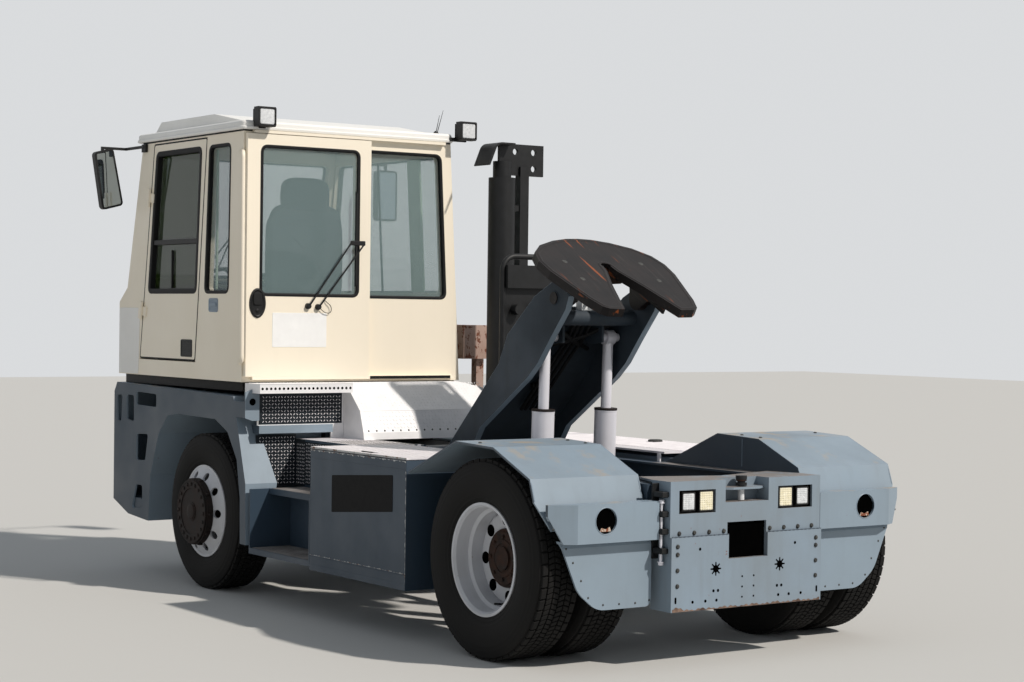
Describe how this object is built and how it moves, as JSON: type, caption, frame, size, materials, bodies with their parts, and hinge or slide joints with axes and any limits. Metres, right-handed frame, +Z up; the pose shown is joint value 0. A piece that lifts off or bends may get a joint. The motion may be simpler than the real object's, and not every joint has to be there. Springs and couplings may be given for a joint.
{
  "type": "terminal tractor",
  "caption": "Four-wheel terminal tractor with an offset high cab, a hydraulic lifting boom that carries a tilting fifth wheel, and a rear towing recess.",
  "frame": {"origin": "on the ground, under the middle of the bounding box of the whole tractor with its mirrors; the tractor's own centreline lies at y = -0.09 m and its rear axle at x = -1.9305 m", "axes": "+X forward, +Y to the driver's left, +Z up"},
  "size_m": [5.301, 2.7763, 3.0899],
  "materials": {
    "slate_paint": "dusty satin enamel",
    "cream_paint": "gloss enamel",
    "white_paint": "gloss enamel",
    "rusted_primer": "weathered",
    "window_glass": "lightly tinted",
    "dark_steel": "rough, rust stained",
    "bright_rod": "polished",
    "silver_paint": "satin",
    "tyre_rubber": "matt",
    "tread_plate": "raised tread pattern",
    "black_plastic": "fine grain",
    "seat_fabric": "woven"
  },
  "bodies": {
    "chassis": {"chassis_frame": "slate_paint", "rear_bulkhead": "slate_paint", "rear_towing_pin": "dark_steel", "rear_fender_left": "slate_paint", "rear_fender_right": "slate_paint", "lamps": "black_plastic", "rear_axle": "slate_paint", "front_axle": "slate_paint", "propshafts": "dark_steel", "engine_block": "dark_steel", "battery_box": "slate_paint", "batteries": "black_plastic", "tanks": "slate_paint", "deck_plates": "tread_plate", "entry_steps": "slate_paint", "front_fender_left": "slate_paint", "front_fender_right": "slate_paint", "front_bumper": "slate_paint", "cab_step": "tread_plate", "engine_cover": "tread_plate", "exhaust_stack": "dark_steel", "silencer": "rusted_primer", "service_stand": "slate_paint", "cab_left_wall": "cream_paint", "cab_right_wall": "cream_paint", "cab_rear_wall": "cream_paint", "cab_front_wall": "cream_paint", "cab_floor": "black_plastic", "cab_roof": "white_paint", "cab_glass": "window_glass", "driver_seat": "seat_fabric", "dashboard": "black_plastic", "mirrors": "black_plastic"},
    "knuckle_left": {"knuckle_left": "dark_steel"},
    "knuckle_right": {"knuckle_right": "dark_steel"},
    "wheel_front_left": {"rim_front_left": "silver_paint", "tyre_front_left": "tyre_rubber", "hub_front_left": "dark_steel"},
    "wheel_front_right": {"rim_front_right": "silver_paint", "tyre_front_right": "tyre_rubber", "hub_front_right": "dark_steel"},
    "wheels_rear_left": {"rims_rear_left": "silver_paint", "tyres_rear_left": "tyre_rubber", "hub_rear_left": "dark_steel"},
    "wheels_rear_right": {"rims_rear_right": "silver_paint", "tyres_rear_right": "tyre_rubber", "hub_rear_right": "dark_steel"},
    "boom": {"boom": "slate_paint"},
    "fifth_wheel": {"fifth_wheel": "dark_steel"},
    "side_door": {"side_door": "cream_paint", "side_door_glass": "window_glass"},
    "rear_door": {"rear_door": "cream_paint", "rear_door_glass": "window_glass"},
    "battery_lid": {"battery_lid": "tread_plate"},
    "barrel_left": {"lift_barrel_left": "dark_steel"},
    "sleeve_left": {"lift_sleeve_left": "bright_rod"},
    "rod_left": {"lift_rod_left": "bright_rod"},
    "barrel_right": {"lift_barrel_right": "dark_steel"},
    "sleeve_right": {"lift_sleeve_right": "bright_rod"},
    "rod_right": {"lift_rod_right": "bright_rod"}
  },
  "joints": [
    {"name": "steer_left", "type": "hinge", "parent": "chassis", "child": "knuckle_left", "pos_m": [1.3125, 0.81, 0.505], "axis": [0, 0, 1], "range_deg": [-32, 32]},
    {"name": "steer_right", "type": "hinge", "parent": "chassis", "child": "knuckle_right", "pos_m": [1.3125, -0.99, 0.505], "axis": [0, 0, 1], "range_deg": [-32, 32]},
    {"name": "roll_front_left", "type": "hinge", "parent": "knuckle_left", "child": "wheel_front_left", "pos_m": [1.3125, 0.99, 0.505], "axis": [0, 1, 0], "continuous": true},
    {"name": "roll_front_right", "type": "hinge", "parent": "knuckle_right", "child": "wheel_front_right", "pos_m": [1.3125, -1.17, 0.505], "axis": [0, 1, 0], "continuous": true},
    {"name": "roll_rear_left", "type": "hinge", "parent": "chassis", "child": "wheels_rear_left", "pos_m": [-1.9305, 0.822, 0.528], "axis": [0, 1, 0], "continuous": true},
    {"name": "roll_rear_right", "type": "hinge", "parent": "chassis", "child": "wheels_rear_right", "pos_m": [-1.9305, -1.002, 0.528], "axis": [0, 1, 0], "continuous": true},
    {"name": "boom_lift", "type": "hinge", "parent": "chassis", "child": "boom", "pos_m": [-0.3105, -0.09, 0.9], "axis": [0, -1, 0], "range_deg": [0, 36]},
    {"name": "plate_tilt", "type": "hinge", "parent": "boom", "child": "fifth_wheel", "pos_m": [-1.3455, -0.09, 1.905], "axis": [0, 1, 0], "range_deg": [0, 50]},
    {"name": "barrel_tilt_left", "type": "hinge", "parent": "chassis", "child": "barrel_left", "pos_m": [-1.0655, 0.138, 0.42], "axis": [0, -1, 0], "range_deg": [-0.5, 27.08]},
    {"name": "sleeve_slide_left", "type": "slide", "parent": "barrel_left", "child": "sleeve_left", "axis": [-0.0341, 0, 0.9994], "range_m": [-0.267, 0.002]},
    {"name": "rod_slide_left", "type": "slide", "parent": "sleeve_left", "child": "rod_left", "axis": [-0.0341, 0, 0.9994], "range_m": [-0.267, 0.002]},
    {"name": "barrel_tilt_right", "type": "hinge", "parent": "chassis", "child": "barrel_right", "pos_m": [-1.0655, -0.318, 0.42], "axis": [0, -1, 0], "range_deg": [-0.5, 27.08]},
    {"name": "sleeve_slide_right", "type": "slide", "parent": "barrel_right", "child": "sleeve_right", "axis": [-0.0341, 0, 0.9994], "range_m": [-0.267, 0.002]},
    {"name": "rod_slide_right", "type": "slide", "parent": "sleeve_right", "child": "rod_right", "axis": [-0.0341, 0, 0.9994], "range_m": [-0.267, 0.002]},
    {"name": "side_door_hinge", "type": "hinge", "parent": "chassis", "child": "side_door", "pos_m": [2.25054, 1.143, 1.8], "axis": [0.1391, 0, -0.9903], "range_deg": [0, 80]},
    {"name": "rear_door_slide", "type": "slide", "parent": "chassis", "child": "rear_door", "axis": [0, -1, 0], "range_m": [0, 0.62]},
    {"name": "battery_lid_hinge", "type": "hinge", "parent": "chassis", "child": "battery_lid", "pos_m": [-0.7055, 0.53, 1.015], "axis": [1, 0, 0], "range_deg": [0, 80]}
  ],
  "couplings": [
    {"joint": "barrel_tilt_left", "follows": "boom_lift", "ratio": 0.73833},
    {"joint": "sleeve_slide_left", "follows": "boom_lift", "m_per_rad": -0.42175},
    {"joint": "rod_slide_left", "follows": "boom_lift", "m_per_rad": -0.42175},
    {"joint": "barrel_tilt_right", "follows": "boom_lift", "ratio": 0.73833},
    {"joint": "sleeve_slide_right", "follows": "boom_lift", "m_per_rad": -0.42175},
    {"joint": "rod_slide_right", "follows": "boom_lift", "m_per_rad": -0.42175},
    {"joint": "steer_right", "follows": "steer_left", "ratio": 1}
  ]
}
